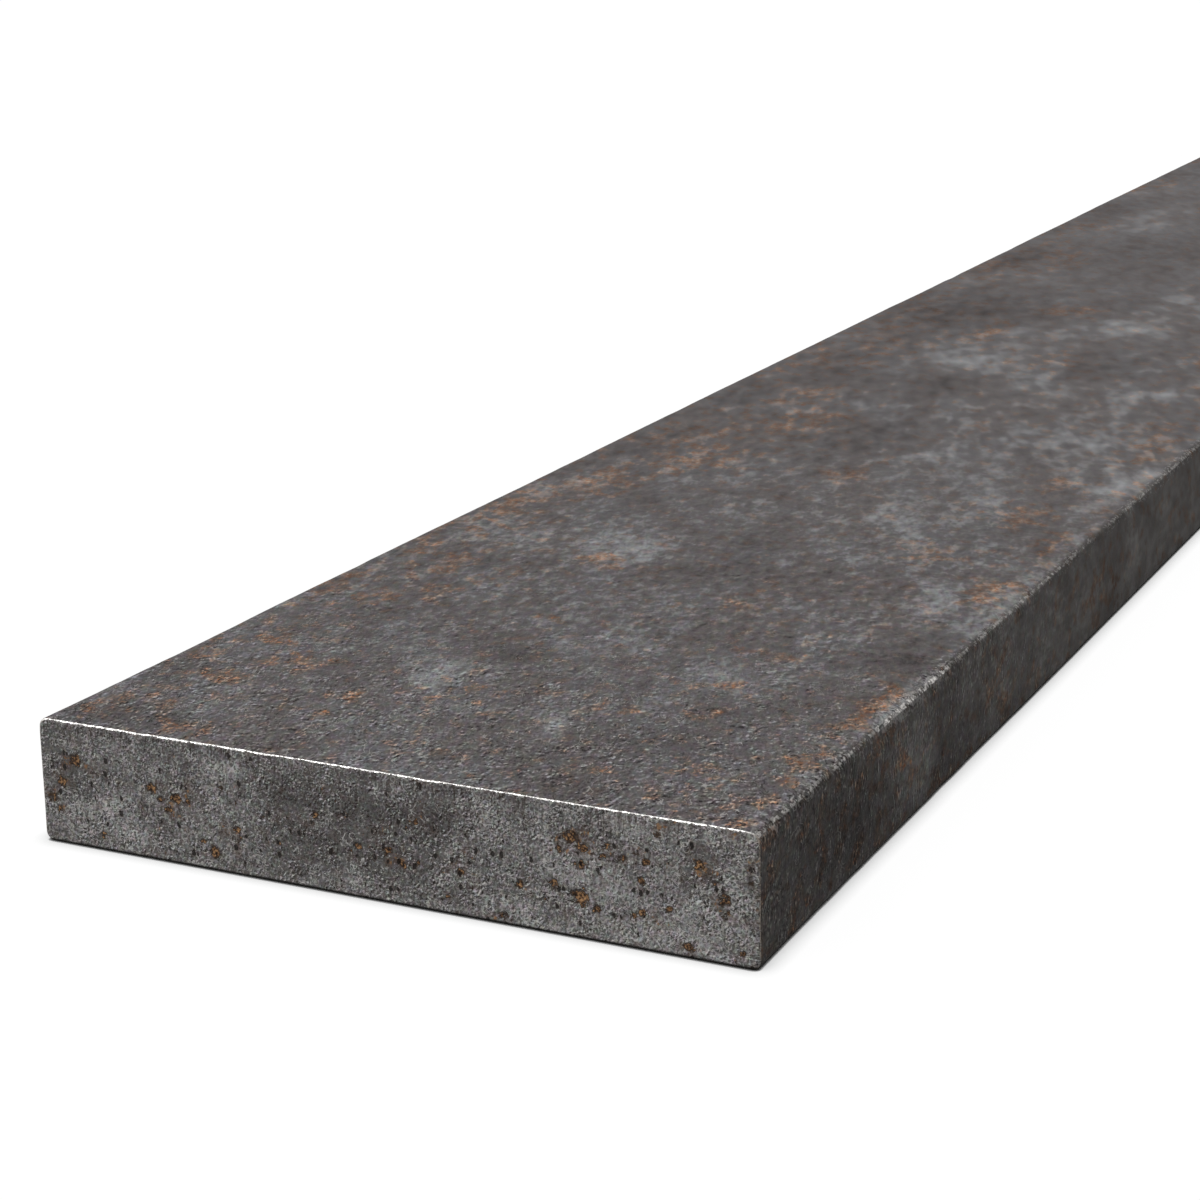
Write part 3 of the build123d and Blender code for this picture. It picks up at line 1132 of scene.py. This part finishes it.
def make_cut_steel():
    """The cut end: greyer than the scale, pitted, with rusting pits and pin-holes."""
    material = bpy.data.materials.new("cut_end_steel")
    sheet = cleared_sheet(material)
    here = sheet.place_mm()
    edges = sheet.use(edge_distances, position=here)
    clouds = sheet.use(scale_clouds, position=here, cloud_size=5.0, mottle_size=1.6, detail=3.5)
    grain = sheet.use(oxide_grain, position=here, stroke_size=0.30, stroke_share=0.3)
    strokes = sheet.use(oxide_grain, position=here, stroke_size=0.5, stroke_share=0.25)
    fine = sheet.use(
        oxide_relief, position=here, grain_size=0.24, to_light=END_LIGHT, quiet=0.5, loud=1.6
    )
    patch, spots, pins, bloom, pressed = sheet.attributes(
        "tone_patch", "end_rust", "pin_holes", "rust_bloom", "pressed_in"
    )

    # The grains' painted light and shade set much of the tone.
    level = fine.shade.times(0.26, plus=patch.times(0.24, plus=0.51))
    level = level + clouds.cloud.weighed(0.12) + clouds.mottle.weighed(0.05)
    level = level + grain.lines.weighed(0.36)
    colour = sheet.drift(sheet.ramp(level, CUT_TONES), here, 0.35, 0.36)

    streaks = sheet.noise(sheet.hanging(here, 0.25), 0.45, 2.0, 0.6).ease(0.54, 0.66, 0, 0.4)
    # Dark runs below the top edge.
    runs = sheet.noise(sheet.hanging(here, 0.14), 0.24, 2.0, 0.6)
    runs = runs.ease(0.56, 0.66) * edges.up.ease(6.8, 9.4, 0, 0.7)
    dark = sheet.largest(grain.dark, strokes.dark)
    pale = sheet.largest(grain.pale, strokes.pale)
    rusting = sheet.use(rust, position=here, bloom=bloom, fleck_size=0.45)

    # Each rust spot has a ragged dark ring round a core of brown and gold.
    ragged = sheet.noise(sheet.warped(here, 0.5, 0.45), 0.5, 2.0, 0.6)
    spot = (spots + ragged.ease(0.25, 0.75, -0.55, 0.5)) * spots.ease(0.02, 0.2)
    ring, core = spot.ease(0.16, 0.40), spot.ease(0.45, 0.62)
    gold = sheet.ramp(sheet.noise(here, 0.2, 1.5).ease(0.34, 0.66), SPOT_TONES)
    share = pins.times(0.7, plus=0.08)
    holes = sheet.use(pin_holes, position=here, spacing=0.64, widest=0.175, share=share)
    colour = sheet.coated(
        colour,
        (streaks, END_STREAK),
        (runs, END_RUN),
        (dark * 0.7, DARK_STROKE),
        (pale * 0.6, PALE_CUT_STROKE),
        (rusting.stain * 0.5, RUST_BROWN),
        (rusting.flecks * 0.6, RUST_FLECK),
        (spots.ease(0, 0.5) * 0.3, SPOT_HALO),
        (ring * 0.8, SPOT_RING),
        (core * 0.9, gold),
        (holes.rim * 0.3, RUST_BROWN),
        (holes.hole * 0.9, HOLE_BLACK),
    )

    rim, bare, lit = worn_rim(sheet, here, edges.up, edges.from_face - pressed)
    # Below the top edge the rim is beige: worn steel, and a painted highlight.
    arris = rim.bare * edges.up.ease(AT_TOP, BELOW_TOP) * lit.ease(0.38, 0.56, 0.2, 1)
    # Painted shade: the rim darkens towards the floor.
    colour = coat_rim(sheet, colour, rim, arris, bare, edges.up.ease(0.28, 0.15) * 0.9)

    dull = sheet.between(ring, clouds.mottle.fade(0.55, 0.68), RUST_ROUGHNESS)
    heights = (
        (grain.lines, 1.0),
        (fine.height, 1.2),
        (clouds.mottle, 1.5),
        (dark, -1.6),
        (pale, 1.2),
        (holes.hole, -4.0),
        (ring, -2.0),
        (core, 1.4),
        (rim.nick, -2.0),
    )
    finish_steel(sheet, colour, bare, dull, heights, bumpiness=1.0, sheen=0.12)
    return material


def finish_bar(bar):
    """The cut steel goes on both ends and their dressed edges, the scale on all the rest."""
    bar.data.materials.clear()
    bar.data.materials.append(make_rolled_scale())
    bar.data.materials.append(make_cut_steel())
    for face in bar.data.polygons:
        face.material_index = 1 if abs(face.normal.y) > FACES_END else 0


finish_bar(bar)


# ------------------------------------------------------------------ studio

# The surround looks white but lights with less than that. The key light gives the rest of a
# full light on the floor. It comes from this direction, and spreads by this many degrees.
WHITE = 0.985
FILL_LEVEL = 0.30
KEY_LEVEL = 0.70
KEY_DIRECTION = Vector((-0.40, -0.57, 0.72)).normalized()
KEY_SPREAD = 30

# The side of the floor, in metres.
FLOOR_SIZE = 30

# The floor as it is seen, under its own glow, and as it throws light back at the bar.
SEEN_PAPER = (0.03, 0.03, 0.03, 1.0)
LIT_PAPER = (0.30, 0.30, 0.30, 1.0)

# The bar's shadow on the floor: how far the close and the wide part reach, and how the
# close part deepens.
CONTACT_REACH = 0.25 * MM
NEARBY_REACH = 1.5 * MM
CONTACT_DEPTH = 4.0
SHADOW_SAMPLES = 4

# The camera: its lens, the shift of its picture as a share of the width, its place in
# millimetres from the middle of the bar's underside, and its turn, dip and roll in degrees.
FOCAL_LENGTH = 78.0
LENS_SHIFT = -1 / 6
CAMERA_PLACE = (93.6, -649.9, 74.8)
CAMERA_TURN, CAMERA_DIP, CAMERA_ROLL = 26.54, 12.22, -1.2


def seen_directly(sheet):
    """1 for rays from the camera, off metal and through glass, and 0 for those that light."""
    rays = sheet.put("LightPath", {}).outputs
    return sheet.largest(
        rays["Is Camera Ray"], rays["Is Glossy Ray"], rays["Is Transmission Ray"]
    )


def lay_floor():
    deselect_objects()
    bpy.ops.mesh.primitive_plane_add(size=FLOOR_SIZE, location=(0, 0, 0))
    floor = bpy.context.object
    floor.name = floor.data.name = "studio_floor"
    material = bpy.data.materials.new("studio_white")
    sheet = cleared_sheet(material)
    contact, nearby = (
        sheet.result("AmbientOcclusion", {"Distance": reach}, "AO", samples=SHADOW_SAMPLES)
        for reach in (CONTACT_REACH, NEARBY_REACH)
    )
    shade = sheet.maths("POWER", contact, CONTACT_DEPTH) * sheet.maths("SQRT", nearby)
    glow = sheet.result("Emission", {"Color": (WHITE, WHITE, WHITE, 1.0), "Strength": shade})
    seen_paper, lit_paper = (
        sheet.result("BsdfDiffuse", {"Color": colour}) for colour in (SEEN_PAPER, LIT_PAPER)
    )
    seen_floor = sheet.result("AddShader", {0: glow, 1: seen_paper})
    surface = sheet.result("MixShader", {0: seen_directly(sheet), 1: lit_paper, 2: seen_floor})
    sheet.put("OutputMaterial", {"Surface": surface})
    floor.data.materials.append(material)
    floor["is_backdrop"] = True


def light_studio():
    world = bpy.data.worlds.new("studio_surround")
    bpy.context.scene.world = world
    sheet = cleared_sheet(world)
    world.cycles.sampling_method = "NONE"
    strength = sheet.between(seen_directly(sheet), FILL_LEVEL, WHITE)
    surround = sheet.result("Background", {"Color": (1.0, 1.0, 1.0, 1.0), "Strength": strength})
    sheet.put("OutputWorld", {"Surface": surround})

    key = bpy.data.lights.new("key_light", "SUN")
    key.energy = KEY_LEVEL * math.pi / KEY_DIRECTION.z
    key.angle = math.radians(KEY_SPREAD)
    holder = bpy.data.objects.new("key_light", key)
    holder.rotation_euler = KEY_DIRECTION.to_track_quat("Z", "Y").to_euler()
    bpy.context.collection.objects.link(holder)


def place_camera():
    lens = bpy.data.cameras.new("camera")
    lens.lens = FOCAL_LENGTH
    lens.shift_y = LENS_SHIFT
    lens.clip_start = 1 * MM
    camera = bpy.data.objects.new("camera", lens)
    camera.matrix_world = (
        Matrix.Translation(Vector(CAMERA_PLACE) * MM)
        @ Matrix.Rotation(math.radians(CAMERA_TURN), 4, "Z")
        @ Matrix.Rotation(math.radians(90 - CAMERA_DIP), 4, "X")
        @ Matrix.Rotation(math.radians(CAMERA_ROLL), 4, "Z")
    )
    bpy.context.collection.objects.link(camera)
    bpy.context.scene.camera = camera


lay_floor()
light_studio()
place_camera()
bpy.context.scene.view_settings.view_transform = "Standard"

new_low, new_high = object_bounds()
